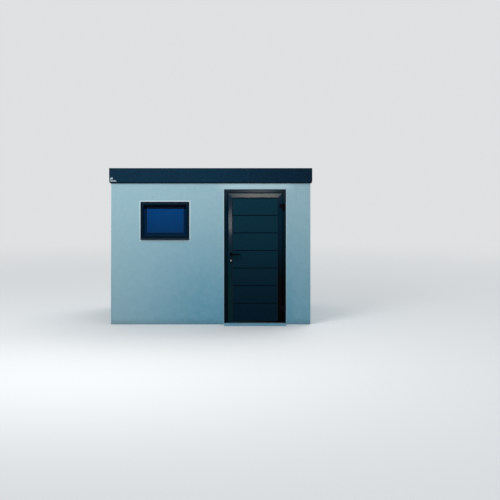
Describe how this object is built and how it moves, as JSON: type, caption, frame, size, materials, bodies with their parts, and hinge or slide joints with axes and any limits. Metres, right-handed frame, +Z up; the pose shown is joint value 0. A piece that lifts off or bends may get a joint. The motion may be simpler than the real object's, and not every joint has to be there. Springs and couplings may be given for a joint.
{
  "type": "garden shed",
  "caption": "Small flat-roofed garden shed with rendered walls, a deep folded-metal roof edge, a window and a panelled door that opens outward",
  "frame": {"origin": "at ground level, in the middle of the walls' footprint", "axes": "+X to the right as the door is faced, +Y into the shed, +Z up"},
  "size_m": [3.244, 2.445, 2.5],
  "materials": {
    "render": "fine-grained pale mineral render",
    "concrete": "smooth pale concrete",
    "roof_panel": "board ceiling, plain",
    "roofing": "rolled roofing sheet",
    "sheet_metal": "folded sheet, anthracite powder coat",
    "door_paint": "anthracite satin powder coat",
    "door_panel": "anthracite fine-textured panel",
    "window_paint": "anthracite window profile",
    "window_glass": "clear pane with a blue reflection",
    "threshold_metal": "brushed threshold profile",
    "seal_rubber": "black seal",
    "hinge_paint": "black-grey hinge",
    "handle_black": "matt black handle",
    "lock_nickel": "satin nickel",
    "lock_steel": "brushed steel"
  },
  "bodies": {
    "shed": {"front_wall_left": "render", "front_wall_over_door": "render", "front_wall_right": "render", "left_wall": "render", "right_wall": "render", "back_wall": "render", "floor_slab": "concrete", "door_step": "concrete", "roof_deck": "roof_panel", "roof_membrane": "roofing", "fascia_front": "sheet_metal", "fascia_back": "sheet_metal", "fascia_sides": "sheet_metal", "coping_front": "sheet_metal", "coping_back": "sheet_metal", "coping_sides": "sheet_metal", "rain_spout": "sheet_metal", "door_jamb_left": "door_paint", "door_jamb_right": "door_paint", "door_head": "door_paint", "window_frame": "window_paint", "window_sash": "window_paint", "window_bead": "window_paint", "window_sill": "window_paint", "window_glass": "window_glass", "door_threshold": "threshold_metal", "door_seal": "seal_rubber", "hinge_brackets": "hinge_paint", "strike_plate": "lock_steel"},
    "door": {"leaf_stile_left": "door_paint", "leaf_stile_right": "door_paint", "leaf_top_rail": "door_paint", "leaf_bottom_rail": "door_paint", "door_plank_1": "door_panel", "door_plank_2": "door_panel", "door_plank_3": "door_panel", "door_plank_4": "door_panel", "door_plank_5": "door_panel", "door_plank_6": "door_panel", "door_plank_7": "door_panel", "hinge_leaves": "hinge_paint", "handle_plates": "handle_black", "lock_cylinder": "lock_nickel", "lock_faceplate": "lock_steel"},
    "lever": {"door_lever": "handle_black"}
  },
  "joints": [
    {"name": "door_swing", "type": "hinge", "parent": "shed", "child": "door", "pos_m": [1.149, -1.106, 1], "axis": [0, 0, 1], "range_deg": [0, 105]},
    {"name": "lever_turn", "type": "hinge", "parent": "door", "child": "lever", "pos_m": [0.323, -1.062, 1.12], "axis": [0, 1, 0], "range_deg": [0, 40], "stiffness_Nm_per_rad": 1, "springref_deg": -28.65}
  ]
}
